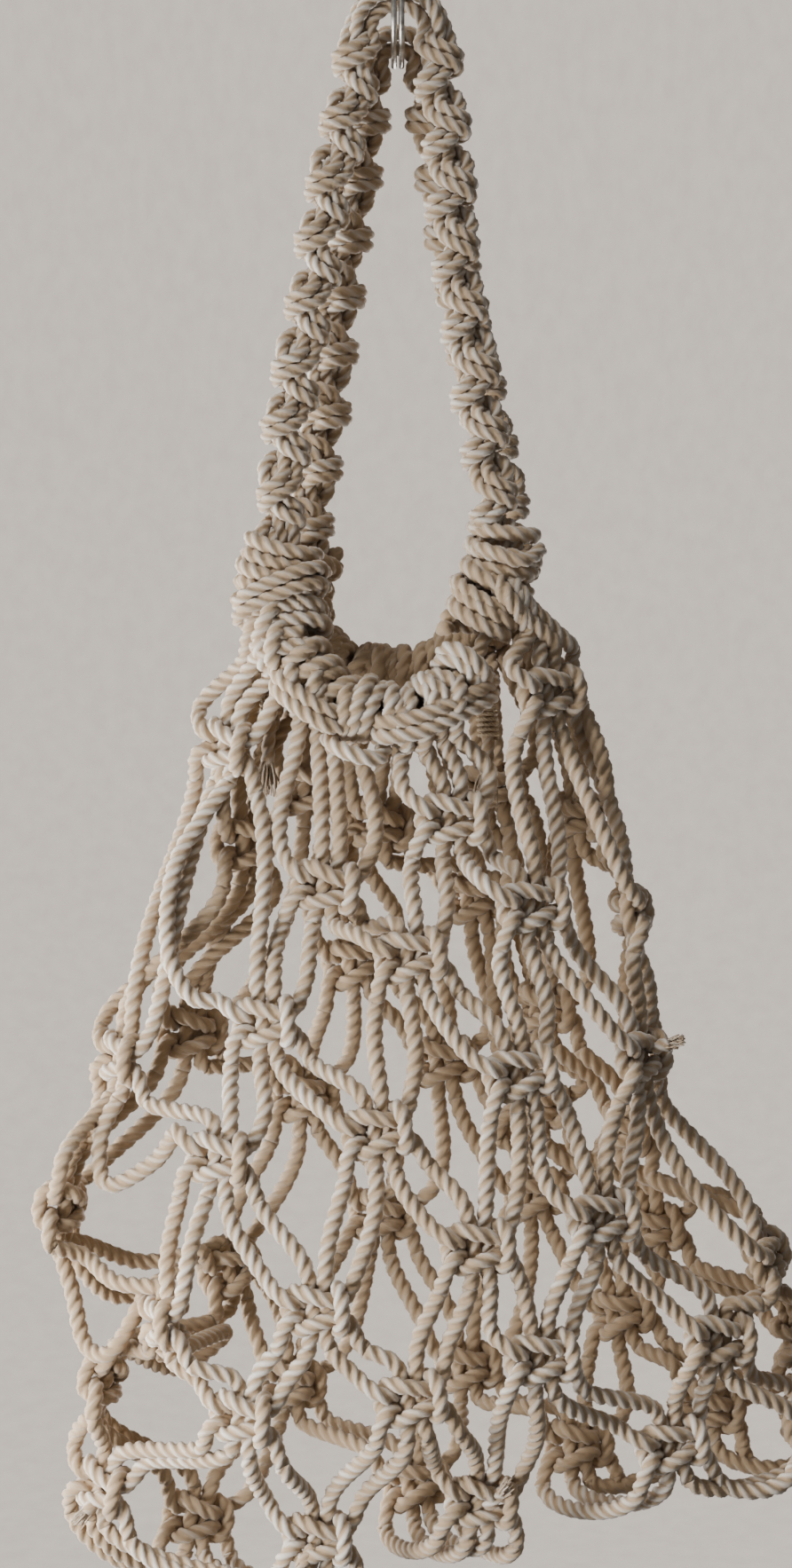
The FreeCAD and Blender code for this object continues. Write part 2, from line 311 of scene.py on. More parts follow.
def scaled(tree, place, factors):
    made_node = node(tree, "VectorMath")
    made_node.operation = "MULTIPLY"
    made_node.inputs[1].default_value = factors
    tree.links.new(place, made_node.inputs[0])
    return made_node.outputs[0]


def noise(tree, place, scale, detail=2.0):
    made_node = node(tree, "TexNoise", Scale=scale, Detail=detail)
    tree.links.new(place, made_node.inputs["Vector"])
    return made_node.outputs["Fac"]


def times_plus(tree, value, factor, plus):
    made_node = node(tree, "Math")
    made_node.operation = "MULTIPLY_ADD"
    made_node.inputs[1].default_value = factor
    tree.links.new(value, made_node.inputs[0])
    tree.links.new(plus, made_node.inputs[2])
    return made_node.outputs[0]


def map_range(tree, value, **inputs):
    made_node = node(tree, "MapRange", **inputs)
    tree.links.new(value, made_node.inputs["Value"])
    return made_node.outputs["Result"]


def ramp(tree, value, low, high, stops=(0.0, 1.0)):
    made_node = node(tree, "ValToRGB")
    for element, position, color in zip(made_node.color_ramp.elements, stops, (low, high)):
        element.position = position
        element.color = (*color, 1)
    tree.links.new(value, made_node.inputs["Fac"])
    return made_node.outputs["Color"]


def bump(tree, shader, height, strength, distance):
    made_node = node(tree, "Bump", Strength=strength, Distance=distance)
    tree.links.new(height, made_node.inputs["Height"])
    tree.links.new(made_node.outputs["Normal"], shader.inputs["Normal"])


def cotton(tree, shader):
    """Fibres along the plies, patches, a tone for each rope that the rear ropes lower as painted shade,
    and painted shade: warm dark creases between plies.
    """
    place = attribute(tree, "rope", "Vector")
    fibre = noise(tree, scaled(tree, place, (1.6, 1.6, 0.28)), 1.9, 5.0)
    # each rope's own tone, lowered on the rear ropes as painted shade
    level = times_plus(tree, noise(tree, place, 0.045, 3.0), 0.45, attribute(tree, "tone", "Fac"))
    level = times_plus(tree, fibre, 0.30, level)
    # painted shade: deep in the creases between plies the cotton is darkened towards the ramp's warm
    # dark end
    level = times_plus(tree, attribute(tree, "crease_shade", "Fac"), -0.42, level)
    color = ramp(tree, level, (0.38, 0.265, 0.155), (0.87, 0.86, 0.81), (0.25, 0.72))
    tree.links.new(color, shader.inputs["Base Color"])
    shader.inputs["Roughness"].default_value = 0.88
    shader.inputs["Specular IOR Level"].default_value = 0.25
    shader.inputs["Sheen Weight"].default_value = 0.35
    shader.inputs["Sheen Roughness"].default_value = 0.6
    bump(tree, shader, fibre, 0.55, 0.0005)


def thread(tree, shader):
    fibre = noise(tree, attribute(tree, "rope", "Vector"), 1.2)
    color = ramp(tree, fibre, (0.42, 0.30, 0.18), (0.74, 0.60, 0.42))
    tree.links.new(color, shader.inputs["Base Color"])
    shader.inputs["Roughness"].default_value = 0.6
    bump(tree, shader, fibre, 1.0, 0.0003)


def steel(tree, shader):
    wear = noise(tree, node(tree, "TexCoord").outputs["Object"], 320.0, 4.0)
    color = ramp(tree, wear, (0.30, 0.27, 0.23), (0.60, 0.57, 0.52), (0.35, 0.62))
    tree.links.new(color, shader.inputs["Base Color"])
    tree.links.new(map_range(tree, wear, To_Min=0.24, To_Max=0.5), shader.inputs["Roughness"])
    shader.inputs["Metallic"].default_value = 1.0
    bump(tree, shader, wear, 0.15, 0.0002)


COTTON = material("cotton_rope", cotton)
THREAD = material("binding_thread", thread)
STEEL = material("ring_steel", steel)


# ---------------------------------------------------------------- square knot
def square_knot():
    """The four ropes of a square knot, in rope diameters: across, up, outward."""
    bars = [(2.7, 2.5, -0.5), (2.4, 1.7, -0.4), (2.0, 1.0, -0.3), (1.35, 0.62, 0.35), (0.8, 0.56, 0.95),
            (0.2, 0.6, 1.1), (-0.45, 0.7, 1.05), (-1.15, 0.85, 0.6), (-1.75, 0.68, -0.15)]
    bars = bars + [(-1.95, 0, -0.5)] + [(u, -v, w) for u, v, w in reversed(bars)]
    bump = [(-1.95, 0.55, 0.95), (-1.35, 0.35, 0.3), (-0.95, 0.4, -0.55), (-0.4, 0.5, -1.05),
            (0.4, 0.62, -1.05), (1.15, 0.85, -0.75), (1.75, 0.95, 0.2), (1.6, 0.55, 1.2)]
    bump = ([(-3.2, 1.75, 0.3), (-2.6, 1.1, 0.8)] + bump + [(1.5, 0, 1.45)]
            + [(u, -v, w) for u, v, w in reversed(bump)] + [(-2.4, -1.4, 0.7), (-2.6, -2.3, 0.2)])
    left = [(-0.62, 2.3, 0.0), (-0.55, 1.6, 0), (-0.5, 0.8, 0), (-0.5, -0.8, 0), (-0.55, -1.6, 0),
            (-0.62, -2.3, 0)]
    right = [(-u, v, w) for u, v, w in left]
    return [bump, left, right, bars]


KNOT_GAP = 5.5  # between the middles of ropes that touch, before the knot is scaled
KNOT_SCALE = 0.90
raw = [spline(np.array(c) * ROPE, 1.5) for c in square_knot()]
knot_pins = [[0, 1, len(k) - 2, len(k) - 1] for k in raw]
TEMPLATE = [k * KNOT_SCALE for k in relax(raw, knot_pins, KNOT_GAP, 260, 0.92, 0.10, 6)]


def across(ring, j):
    d = np.subtract(ring[(j + 1) % PER_RING], ring[j - 1]).astype(float)
    d[2] = 0
    return unit(d)


def half_of(knot):
    return "front" if knot[1] <= SIDE_LIMIT else "rear"


def knot_axes(r, j):
    """Across, up and outward at a knot, leaning with the ropes above it, with a small random tilt
    across.
    """
    ring = KNOTS[r]
    u = across(ring, j)
    above = np.mean([KNOTS[r - 1][j - 1], KNOTS[r - 1][j]] if r else RIM_ENDS[j], 0)
    lean = np.subtract(above, ring[j])
    up = unit(UP + 0.5 * unit(lean))
    up = unit(up + u * rng.uniform(-0.16, 0.16))
    out = unit(np.cross(u, up))
    return unit(np.cross(up, out)), up, out


AXES = [[knot_axes(r, j) for j in range(PER_RING)] for r in range(RINGS)]


def knot_lines(r, j):
    u, up, out = AXES[r][j]
    c = np.array(KNOTS[r][j], float)
    return [c + k[:, :1] * u + k[:, 1:2] * up + k[:, 2:] * out for k in TEMPLATE]


KNOT_LINES = [[knot_lines(r, j) for j in range(PER_RING)] for r in range(RINGS)]


# ---------------------------------------------------------------- net
def leg_line(top, top_dir, bottom, bottom_dir, slack):
    """A leg between two knots: the more it slants, the straighter it is."""
    span = np.linalg.norm(bottom - top)
    lean = abs(bottom[2] - top[2]) / span
    reach = span * (0.10 + 0.24 * lean)
    line = bezier(top, top_dir * reach, bottom_dir * reach, bottom)
    t = np.linspace(0, 1, len(line))[:, None]
    return line + slack * np.sin(math.pi * t)


LEG_SIZE, KNOT_SIZE = 1.13, 1.04
PAIR_HALF = 2.8  # from the middle of a pair of ropes to either rope
REAR_SHADE = 0.15  # painted shade: the rear ropes' tone is lowered by this much, darker and warmer, for the light on the rear half
# Legs with slack: (ring, knot, rope) of the knot a leg goes into, and the points that it hangs through.
SLACK_BIGHTS = {
    (1, 1, 0): [(-82, -14, -338), (-85, -17, -370), (-76, -21, -388)],
    (2, 1, 0): [(-111, -3, -440), (-109, -6, -459), (-90, -16, -449)],
    (3, 1, 0): [(-122, -1, -500), (-117, -4, -519), (-106, -13, -520)],
    (3, 1, 1): [(-117, -4, -486), (-105, -14, -494)],
    (3, 0, 2): [(-121, 12, -492), (-104, 26, -506)],
    (3, 0, 3): [(-118, 14, -484), (-98, 28, -493)],
    (4, 1, 3): [(-66, 30, -520), (-84, 18, -532)],
}
sections = {}  # piece name -> list of rope parts


def keep(name, part):
    sections.setdefault(name, []).append(part)


def slice_strand(points, labels, sizes, first_knot):
    """Samples a whole strand once, then hands each labelled stretch to its piece."""
    s = np.concatenate([[0], np.cumsum(np.linalg.norm(np.diff(points, axis=0), axis=1))])
    line, share, along, dirs, twist = rope_parts(points, thick=sizes)
    at = np.linspace(0, s[-1], len(line))
    index = np.minimum(np.searchsorted(s, at, side="right") - 1, len(labels) - 1)
    named = [labels[i] for i in index]
    # painted shade: a rear strand's tone is lowered by REAR_SHADE
    tone = rng.uniform(-0.04, 0.10) - (REAR_SHADE if half_of(KNOTS[0][first_knot]) == "rear" else 0)
    begin = 0
    for i in range(1, len(named) + 1):
        if i == len(named) or named[i] != named[begin]:
            stop = min(i + 1, len(named))
            if stop - begin >= 3:
                keep(named[begin], (line[begin:stop], share[begin:stop], along[begin:stop],
                                    (dirs[0][begin:stop], dirs[1][begin:stop]),
                                    twist[begin:stop], tone))
            begin = i


def leg_piece(r, upper, j):
    """The piece that a leg belongs to: its half's row, or a piece of its own where it crosses."""
    if r == 0:
        return f"{half_of(KNOTS[0][j])}_net_row_1"
    a, b = half_of(KNOTS[r - 1][upper]), half_of(KNOTS[r][j])
    if a == b:
        return f"{a}_net_row_{r + 1}"
    return f"side_legs_{r + 1}_{upper}_{j}"


def next_place(j, k):
    """Rope k of a knot goes on to this knot and rope of the ring below."""
    return (j, k + 2) if k < 2 else ((j + 1) % PER_RING, k - 2)


RIM_LINES = {"front": spline(FRONT_RIM), "rear": spline(REAR_RIM)}


def rim_start(j, k):
    """From behind the rim, over it and down to where the leg leaves it."""
    end = np.array(RIM_ENDS[j][0 if k < 2 else 1], float)
    u = across(KNOTS[0], j)
    out = unit(np.cross(u, UP))
    aside = u * (-PAIR_HALF if k % 2 == 0 else PAIR_HALF)
    end = end + aside
    rim = RIM_LINES[half_of(KNOTS[0][j])]
    core = rim[np.argmin(np.linalg.norm(rim - end - UP * 13, axis=1))]
    core = core + aside
    way = unit(end - core)
    return np.array([core - out * 4 - UP * 3, core - out * 6 + UP * 3, core + UP * 8,
                     core + out * 8 + UP * 1, core + out * 6 + way * 9, end + UP * 1])


def make_strand(j, k):
    points, labels, sizes = [], [], []

    def add(line, label, size):
        points.extend(line)
        labels.extend([label] * len(line))
        sizes.extend([size] * len(line))

    add(spline(rim_start(j, k)), leg_piece(0, j, j), LEG_SIZE)
    at_j, at_k = j, k
    upper = j
    for r in range(RINGS):
        knot = KNOT_LINES[r][at_j][at_k]
        top, top_dir = points[-1], unit(np.subtract(points[-1], points[-3]))
        up_dir = unit(knot[0] - knot[2])
        u, _, out = AXES[r][at_j]
        side = -1 if at_k < 2 else 1
        span = np.linalg.norm(knot[0] - top)
        bow = side if at_k in (0, 3) else -side  # a pair's two ropes bow away from each other
        slack = out * rng.uniform(-0.02, 0.05) * span + u * bow * rng.uniform(-0.01, 0.05) * span
        entry = unit(up_dir + UP * 0.35)
        if (r, at_j, at_k) in SLACK_BIGHTS:
            leg = spline([points[-3], top, *SLACK_BIGHTS[r, at_j, at_k], knot[0], knot[2]])[2:-2]
        else:
            leg = leg_line(np.array(top), top_dir, knot[0], entry, slack)
        add(leg[1:-1], leg_piece(r, upper, at_j), LEG_SIZE)
        add(knot, f"{half_of(KNOTS[r][at_j])}_net_row_{r + 1}", KNOT_SIZE)
        if r < RINGS - 1:
            upper = at_j
            at_j, at_k = next_place(at_j, at_k)
    add(tie_line(points, at_j, at_k), *tie_label(at_j, at_k))
    points = evened(np.array(points), 3)
    sizes = np.convolve(np.pad(sizes, 6, mode="edge"), np.ones(13) / 13, mode="valid")
    slice_strand(points, labels, sizes, j)


def tie_of(j, k):
    side = -1 if k < 2 else 1
    for a, b in BASE_TIES:
        if a == (j, side):
            return b
    return None


def tie_label(j, k):
    other = tie_of(j, k)
    own = half_of(KNOTS[-1][j])
    if other is None:
        return f"{own}_net_row_6", KNOT_SIZE
    if own == half_of(KNOTS[-1][other[0]]):
        return f"{own}_base_loops", LEG_SIZE
    return f"base_tie_{j}_{other[0]}_{k}", LEG_SIZE


def tie_line(points, j, k):
    other = tie_of(j, k)
    here = points[-1]
    down = unit(np.subtract(points[-1], points[-3]))
    if other is None:
        return [here + down * 1.5]
    far = KNOT_LINES[-1][other[0]][{-1: 1 - k % 2, 1: 3 - k % 2}[other[1]]][-1]
    span = np.linalg.norm(far - here)
    drop = -UP * min(0.45 * span, 12) * rng.uniform(0.7, 1.1)
    return bezier(here, down * 3 + drop, drop - UP * 2, far)[1:]


for j in range(PER_RING):
    for k in range(4):
        make_strand(j, k)


# ---------------------------------------------------------------- cords round a curve
def along_curve(points, step=1.0):
    line = spline(points, step)
    t = np.gradient(line, axis=0)
    t /= np.linalg.norm(t, axis=1)[:, None]
    return line, t


def wrap(name, points, wide, deep, turns, ropes=1, tilt=0.0, swell=0.15, size=1.1, phase=0.0):
    """Rope wound round a curve. tilt slides the front of each turn along the curve, in mm."""
    line, t = along_curve(points, 1.0)
    length = len(line) - 1
    place = np.arange(length + 1)
    out_sign = -1 if np.mean(line[:, 1]) < 0 else 1
    for n in range(ropes):
        angle = np.linspace(0, 2 * math.pi * turns / ropes, int(90 * turns / ropes))
        wander = rng.uniform(0, 6.28, 3)
        share = angle / angle[-1]
        s = share * (length - ROPE * (ropes - 1)) + ROPE * n
        s = s + 1.3 * np.sin(angle * 0.37 + wander[0])
        angle = angle + phase
        s = np.clip(s + tilt * np.sin(angle), 0, length)
        base = np.stack([np.interp(s, place, line[:, i]) for i in range(3)], 1)
        tangent = np.stack([np.interp(s, place, t[:, i]) for i in range(3)], 1)
        tangent /= np.linalg.norm(tangent, axis=1)[:, None]
        out = np.tile([0.0, out_sign, 0.0], (len(s), 1))
        out -= tangent * (out * tangent).sum(1)[:, None]
        out /= np.linalg.norm(out, axis=1)[:, None]
        side = np.cross(tangent, out)
        r = 1 + swell * np.sin(angle * 0.61 + wander[1]) * np.sin(angle * 0.23 + wander[2])
        path = (base + side * (wide * r * np.cos(angle))[:, None]
                + out * (deep * r * np.sin(angle))[:, None])
        part = rope_parts(path, size=size)
        # painted shade: wraps on the rear half get their tone lowered by REAR_SHADE
        keep(name, (*part, rng.uniform(-0.05, 0.10) - (REAR_SHADE if out_sign > 0 else 0)))


def core(name, points, size=1.0, shift=(0, 0, 0)):
    part = rope_parts(spline(points, 1.5) + np.array(shift, float), size=size)
    keep(name, (*part, rng.uniform(-0.03, 0.1)))


def loose_rope(name, points, size=1.1):
    keep(name, (*rope_parts(evened(spline(points), 2), size=size), rng.uniform(-0.05, 0.1)))


core("front_rim", FRONT_RIM)
core("rear_rim", REAR_RIM)
# left joint of the front: two bands of doubled rope, the upper one with a slack bight at its left
wrap("front_rim", [(-43, -13, -219), (-45, -14, -242)], 13.0, 7.6, 4, 2, tilt=2.6, swell=0.12)
wrap("front_rim", [(-44, -15, -240), (-38, -17, -262)], 13.5, 8.0, 4, 2, tilt=-2.8, swell=0.12,
     phase=2.0)
# right joint: two bands, the lower one running down towards the swag
wrap("front_rim", [(39, -12, -214), (38, -14, -234)], 11.5, 7.6, 4, 2, tilt=2.6, swell=0.12)
wrap("front_rim", [(36, -15, -231), (27, -18, -256)], 11.0, 7.6, 4, 2, tilt=3.0, swell=0.12)
# the swag between them, in bundles that lean different ways
wrap("front_rim", [(-36, -19, -262), (-27, -20, -273), (-17, -21, -281)], 8.0, 7.0, 4, tilt=-3.0)
wrap("front_rim", [(-17, -21, -281), (-6, -22, -284)], 9.5, 8.0, 3, tilt=-1.0, swell=0.2)
wrap("front_rim", [(-5, -22, -284), (7, -22, -284)], 8.8, 7.4, 3, tilt=1.6, swell=0.2)
wrap("front_rim", [(7, -22, -283), (17, -21, -276), (26, -20, -262)], 8.6, 7.6, 5, tilt=4.6, swell=0.2)
wrap("rear_rim", [(-34, 14, -219), (-37, 16, -242)], 10.5, 7.4, 4, 2, tilt=2.0)
wrap("rear_rim", [(42, 14, -219), (36, 17, -243)], 10.5, 7.4, 4, 2, tilt=-2.0)
wrap("rear_rim", [(-36, 17, -243), (-27, 19, -259), (-14, 20, -266)], 7.0, 6.6, 5, tilt=2.0)
wrap("rear_rim", [(-13, 20, -266), (5, 20, -267)], 7.6, 6.8, 4, tilt=-1.5, swell=0.2)
wrap("rear_rim", [(6, 20, -267), (22, 20, -260), (35, 18, -246)], 7.4, 6.8, 6, tilt=2.5, swell=0.2)

# short bars of rope tied in under the rim, and the end that is left over at the right joint
for lift in (0, 5.4):
    loose_rope("front_rim", [(-45, -20, -272 + lift), (-43, -26, -276 + lift), (-34, -30, -283 + lift),
                             (-25, -30, -288 + lift), (-19, -26, -288 + lift)])
    loose_rope("front_rim", [(-8, -24, -290 + lift), (-5, -30, -292 + lift), (8, -32, -290 + lift),
                             (22, -29, -284 + lift), (32, -24, -279 + lift), (35, -18, -276 + lift)])
loose_rope("front_rim", [(-26, -22, -292), (-22, -29, -296), (-14, -31, -299), (-7, -29, -300),
                         (-5, -24, -296)])
loose_rope("front_rim", [(30, -20, -222), (36, -24, -224), (43, -25, -227), (49, -22, -226),
                         (53, -17, -222)], 0.95)
for lift in (0, -5.6):
    loose_rope("front_rim", [(-52, -10, -246 + lift), (-59, -15, -243 + lift), (-57, -22, -240 + lift),
                             (-47, -25, -235 + lift), (-37, -25, -231 + lift), (-29, -20, -229 + lift),
                             (-27, -13, -231 + lift)], 0.95)


# ---------------------------------------------------------------- handles
HITCH = 23.5  # one repeat of a handle's chain
HITCHES = 8
HANDLE_SIZE = 0.92
HOME, TWIN = 4.2, 1.6  # at a sinnet's two ends: from its middle to a pair, from the pair to a rope
RUN_OUT = 10  # straight rope below the last hitch

# One repeat of the chain of hitches, in mm. Two ropes run side by side in each of its two pairs, and
# each pair in turn goes round the other: (across, up, outward), then from the pair's middle to a rope.
PAIR_A = [
    ((-3.2, 0, 0), (1.9, 0, 0.5)), ((-2.4, -3.6, 2.0), (1.9, 0.4, 0)),
    ((-0.2, -6.2, 4.2), (1.2, 1.8, 0)),
    ((3.4, -7.4, 5.6), (0, 2.3, 0)), ((7.0, -8.4, 3.6), (0, 2.3, 0)), ((8.0, -9.4, -0.5), (0, 2.3, 0)),
    ((6.0, -9.6, -4.4), (0, 2.3, 0)), ((2.0, -9.2, -5.2), (0, 2.1, 0)),
    ((-1.6, -10.2, -3.4), (-0.6, 1.9, 0)), ((-4.8, -13.0, 0.4), (-1.7, 0.7, -0.4)),
    ((-6.4, -16.6, 2.6), (-1.8, 0.3, 0.6)), ((-4.6, -20.4, 1.6), (-1.9, 0, -0.2)),
]
PAIR_B = [
    ((5.2, 9.0, 1.2), (1.8, -0.4, 0)), ((4.2, 5.0, 3.4), (1.5, -1.2, 0)),
    ((1.4, 2.8, 5.4), (0.6, -2.1, 0)), ((-2.6, 1.6, 6.3), (0, -2.3, 0)),
    ((-6.8, 0.2, 4.4), (0, -2.3, 0)), ((-8.2, -1.0, 0.0), (0, -2.3, 0)),
    ((-6.2, -1.4, -4.2), (0, -2.3, 0)), ((-2.2, -1.0, -5.4), (0, -2.3, 0)),
    ((1.6, -1.6, -4.2), (-0.6, -1.9, 0)), ((3.4, -4.4, -1.4), (-1.8, -0.5, -0.3)),
    ((3.4, -8.0, 0), (-1.9, 0, -0.5)), ((4.4, -11.5, 0.4), (-1.9, 0.2, -0.3)),
]
NARROW = 0.86  # the chain is this much narrower than its points


def sinnet(repeats, mirror):
    """The four ropes of a handle's chain that hangs straight down from the origin, left to right."""
    length = repeats * HITCH
    ropes = []
    for pair, home in ((PAIR_A, -1), (PAIR_B, 1)):
        swell = rng.uniform(0.88, 1.12, repeats)
        lift = rng.uniform(-1.5, 1.5, repeats)
        for rope in (-1, 1):
            points = [(home * HOME + rope * TWIN, 0, 0)]
            for i in range(repeats):
                flip = rope * (-1) ** i
                for middle, to_rope in pair:
                    x, y, w = np.array(middle) * (swell[i], 1, 1) + flip * np.array(to_rope)
                    points.append((x * NARROW, y - (i + 0.45) * HITCH + lift[i], w))
            points.append((home * HOME + rope * TWIN, -length - RUN_OUT, 0))
            ropes.append(spline([(mirror * x, y, w) for x, y, w in points], 2.2))
    pins = [[0, 1, len(k) - 2, len(k) - 1] for k in ropes]
    return relax(ropes, pins, 4.5, 60, 0.94, 0.05, 3)[::mirror], length


SINNETS = {}
for side, mirror in (("left", 1), ("right", -1)):
    SINNETS[side], SINNET_LENGTH = sinnet(HITCHES, mirror)


# over the crown, each rope's place against the bend's middle line: outward from the bend, rearward
CROWN_PLACES = ((3.6, 0.6), (1.6, -3.0), (-2.2, 3.0), (-3.4, -0.4))


def handle(name, crown, bend, left, right, facing):
    """Four ropes from one root, up a sinnet, over the crown and down the other sinnet."""
    crown = np.array(crown, float)
    halves = []
    for points, plaits in ((left, SINNETS["left"]), (right, SINNETS["right"])):
        line, t = along_curve(points, 1.0)
        length = len(line) - 1
        out = np.tile([0.0, facing, 0.0], (len(line), 1))
        out -= t * (out * t).sum(1)[:, None]
        out /= np.linalg.norm(out, axis=1)[:, None]
        side = np.cross(out, t)
        side *= np.sign(side[:, :1])
        stretch = (length + 8) / (SINNET_LENGTH + RUN_OUT)
        ropes = []
        for k in plaits:
            s = np.clip(-k[:, 1] * stretch, 0, length - 0.01)
            extra = np.maximum(-k[:, 1] * stretch - length, 0)
            at = [np.stack([np.interp(s, np.arange(length + 1), q[:, i]) for i in range(3)], 1)
                  for q in (line, side, out, t)]
            ropes.append(at[0] + at[1] * k[:, :1] + at[2] * k[:, 2:] + at[3] * extra[:, None])
        halves.append(ropes)
    # the left sinnet's outer rope goes over to the right one's outer rope
    for a, b, (rise, shift) in zip(halves[0], halves[1][::-1], CROWN_PLACES):
        angle = np.radians(np.linspace(165, 15, 7))
        arc = np.stack([crown[0] + (bend + rise) * np.cos(angle),
                        np.full(7, crown[1] + shift),
                        crown[2] + (bend + rise) * np.sin(angle)], 1)
        arc = arc if a[0][0] < b[0][0] else arc[::-1]
        over = spline(np.vstack([a[3:1:-1], arc, b[2:4]]), 1.5)
        line = evened(np.vstack([a[:2:-1], over, b[3:]]), 3)
        part = rope_parts(line, size=HANDLE_SIZE, lay=LAY * HANDLE_SIZE)
        keep(name, (*part, rng.uniform(-0.03, 0.1)))


handle("front_handle_ropes", FRONT_CROWN, FRONT_BEND, FRONT_LEFT_SINNET, FRONT_RIGHT_SINNET, -1)
handle("rear_handle_ropes", REAR_CROWN, REAR_BEND, REAR_LEFT_SINNET, REAR_RIGHT_SINNET, 1)


# ---------------------------------------------------------------- tails and cut ends
WHIPPING_TURNS, WHIPPING_RADIUS = 9, 3.4


def around(way, aside):
    """Two directions square to a rope's way."""
    cross = unit(np.cross(way, aside))
    return cross, np.cross(way, cross)


def spray(cross, other):
    """A random direction out of a rope's middle, and how far towards its edge."""
    a, spread = rng.uniform(0, 6.28), rng.uniform(0.1, 1.0)
    return cross * math.cos(a) + other * math.sin(a), spread


def hair(name, points, step, sizes):
    part = rope_parts(spline(points, step), step=step, size=rng.uniform(*sizes))
    keep(name, (*part, rng.uniform(0, 0.1)))


def tail(side, top, bound, end):
    """A rope end that hangs inside the mouth, bound with thread and frayed below it."""
    line = spline([top + UP * 4, top, bound, end], 1.5)
    keep(f"{side}_tail", (*rope_parts(line, size=0.9), 0.0))
    axis = unit(end - bound)
    cross, other = around(axis, [0, 1, 0])
    for _ in range(60):
        radial, spread = spray(cross, other)
        start = end - axis * 2 + radial * 2.2 * spread
        tip = end + axis * rng.uniform(5, 11) + radial * (2.4 + 3.4 * spread) * spread
        bend = 0.5 * (start + tip) + radial * rng.uniform(-1, 1.5)
        hair(f"{side}_tail", [start, bend, tip], 1.5, (0.09, 0.16))
    s = np.linspace(0, 1, 400)
    turn = s * 2 * math.pi * WHIPPING_TURNS
    coil = top + (bound - top) * s[:, None]
    coil = coil + (cross * np.cos(turn)[:, None] + other * np.sin(turn)[:, None]) * WHIPPING_RADIUS
    keep(f"{side}_whipping", (*rope_parts(coil, step=0.9, size=0.28, lay=4), 0.0))


def stub(name, at, way, reach=10):
    """A cut rope end with loosened fibres, sticking out of a knot."""
    at, way = np.array(at, float), unit(way)
    end = at + way * reach
    loose_rope(name, [at, at + way * 0.5 * reach + UP * 0.6, end], 0.9)
    cross, other = around(way, [0.2, 1, 0.1])
    for _ in range(26):
        radial, spread = spray(cross, other)
        tip = end + way * rng.uniform(2, 6) + radial * 3.2 * spread
        hair(name, [end - way * 2 + radial * 2 * spread, end + radial * 2.4 * spread, tip], 1.2,
             (0.08, 0.15))


for side, ends in TAILS.items():
    tail(side, *(np.array(p, float) for p in ends))
stub("front_net_row_6", (-110, -6, -574), (-0.6, -0.3, -0.7))
stub("front_net_row_6", (-31, -24, -590), (-0.5, -0.3, -0.8))
stub("front_net_row_6", (33, -26, -575), (0.5, -0.4, 0.6))
stub("front_net_row_3", (94, -20, -407), (0.95, -0.3, 0.25), 7)
stub("rear_net_row_6", (67, 24, -562), (-0.3, 0.4, 0.8))

# ---------------------------------------------------------------- pieces
made = {}
for name, parts in sections.items():
    ropes = Ropes()
    for line, share, along, dirs, twist, tone in parts:
        ropes.add(line, share, along, tone, dirs, twist)
    made[name] = ropes.build(name, THREAD if "whipping" in name else COTTON)

print("pieces", len(made), "faces", sum(len(o.data.polygons) for o in made.values()))


def blend_ends(parts):
    """Where a piece that joins the two halves starts and ends, just inside its knots."""
    tops = np.array([part[0][0] for part in parts])
    ends = np.array([part[0][-1] for part in parts])
    middle = tops.mean(0)
    way = unit(ends.mean(0) - middle)
    first = ((tops - middle) @ way).max() + 1
    last = ((ends - middle) @ way).min() - 1
    return Vector(middle + way * first) * MM, Vector(middle + way * last) * MM


for name, piece in made.items():
    if name.startswith("side_legs"):
        r, upper, j = (int(v) for v in name.split("_")[2:])
        first, last = blend_ends(sections[name])
        if half_of(KNOTS[r - 2][upper]) == "rear":
            first, last = last, first
        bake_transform(piece)
    elif name.startswith("base_tie"):
        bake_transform(piece)
    elif name == "front_handle_ropes":
        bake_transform(piece)
    elif name == "rear_handle_ropes":
        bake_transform(piece)
    elif name.startswith("rear"):
        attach(piece, "rear_wall")
    else:
        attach(piece, "front_wall")

for half in ("front", "rear"):
    for r in range(1, 7):
        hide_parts(f"{half}_knots_row_{r}", f"{half}_legs_row_{r}")
    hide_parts(f"{half}_rim_hitches", f"{half}_left_joint_wraps",
                f"{half}_right_joint_wraps")
    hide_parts(f"{half}_crown", f"{half}_left_sinnet",
                f"{half}_right_sinnet")
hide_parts("front_base_ties")
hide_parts("rear_base_ties")
for side in ("left", "right"):
    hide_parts(f"{side}_frayed_tail")
    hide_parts(f"{side}_thread_whipping")

for name in ("hang_ring_left", "hang_ring_right"):
    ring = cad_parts[name]
    ring.data.materials.clear()
    ring.data.materials.append(STEEL)


# ---------------------------------------------------------------- stage and lights
STAGE_TINT = (0.80, 0.71, 0.63)  # plain pale plaster


def stage_material(tree, shader):
    """Plain pale plaster with a faint grain, evenly lit."""
    place = scaled(tree, node(tree, "TexCoord").outputs["Object"], (1.0, 1.0, 0.55))
    grain = noise(tree, place, 48.0, 3.0)
    bump(tree, shader, grain, 0.10, 0.004)
    level = map_range(tree, grain, From_Min=0.3, From_Max=0.7, To_Min=0.955, To_Max=1.045)
    grained = node(tree, "VectorMath")
    grained.operation = "SCALE"
    grained.inputs[0].default_value = STAGE_TINT
    tree.links.new(level, grained.inputs["Scale"])
    tree.links.new(grained.outputs[0], shader.inputs["Emission Color"])
    shader.inputs["Emission Strength"].default_value = 1.0
    shader.inputs["Base Color"].default_value = (0.10, 0.09, 0.08, 1)
    shader.inputs["Roughness"].default_value = 0.95


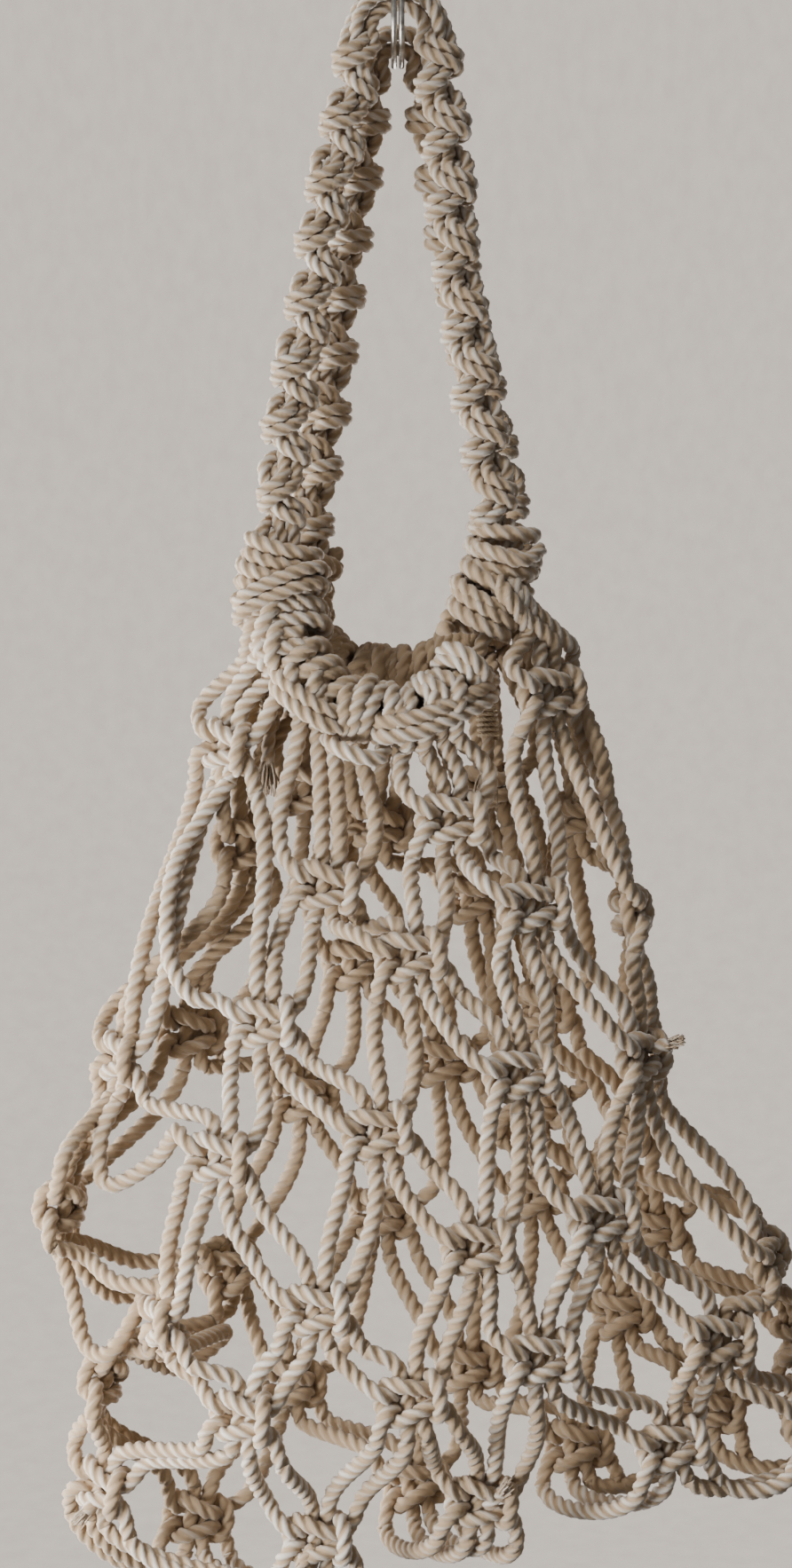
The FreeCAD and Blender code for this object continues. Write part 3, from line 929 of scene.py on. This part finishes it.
def drum():
    """A round studio: floor, a wide fillet and a wall, outside every camera."""
    radius, low, high, fillet = 4.0, -1.15, 4.5, 2.2
    profile = [(0.001, low), (radius - fillet, low)]
    for a in np.linspace(0, math.pi / 2, 9)[1:]:
        profile.append((radius - fillet + fillet * math.sin(a), low + fillet * (1 - math.cos(a))))
    profile.append((radius, high))
    n = 64
    co, faces = [], []
    for r, z in profile:
        for i in range(n):
            a = 2 * math.pi * i / n
            co.append((r * math.cos(a), r * math.sin(a), z))
    for k in range(len(profile) - 1):
        for i in range(n):
            q = (i + 1) % n
            faces.append((k * n + i, k * n + q, (k + 1) * n + q, (k + 1) * n + i))
    mesh = bpy.data.meshes.new("studio")
    mesh.from_pydata(co, [], faces)
    for p in mesh.polygons:
        p.use_smooth = True
    mesh.materials.append(material("studio", stage_material))
    studio = bpy.data.objects.new("studio", mesh)
    bpy.context.scene.collection.objects.link(studio)
    studio.visible_shadow = False
    studio.visible_diffuse = False
    studio.visible_glossy = False


def area_light(name, at, aim, size, energy, color):
    data = bpy.data.lights.new(name, "AREA")
    data.shape = "DISK"
    data.size = size
    data.energy = energy
    data.color = color
    light = bpy.data.objects.new(name, data)
    light.location = at
    light.visible_camera = False
    light.rotation_euler = (Vector(aim) - Vector(at)).to_track_quat("-Z", "Y").to_euler()
    bpy.context.scene.collection.objects.link(light)


drum()
area_light("key", (-1.25, -1.05, 1.25), (0, 0, -0.35), 0.80, 37, (1.0, 1.0, 1.0))
area_light("fill_low", (-0.48, -0.34, -0.60), (-0.10, 0, -0.54), 0.30, 7.0, (1.0, 1.0, 1.0))
area_light("side", (-1.2, 0.35, -0.70), (0, 0, -0.45), 0.70, 42, (1.0, 1.0, 1.0))
area_light("back", (0.5, 1.4, -0.7), (0, 0, -0.35), 1.0, 26, (1.0, 1.0, 1.0))

world = bpy.data.worlds.new("world")
world.use_nodes = True
world.node_tree.nodes["Background"].inputs["Color"].default_value = (1.0, 1.0, 1.0, 1)
world.node_tree.nodes["Background"].inputs["Strength"].default_value = 0.22
bpy.context.scene.world = world
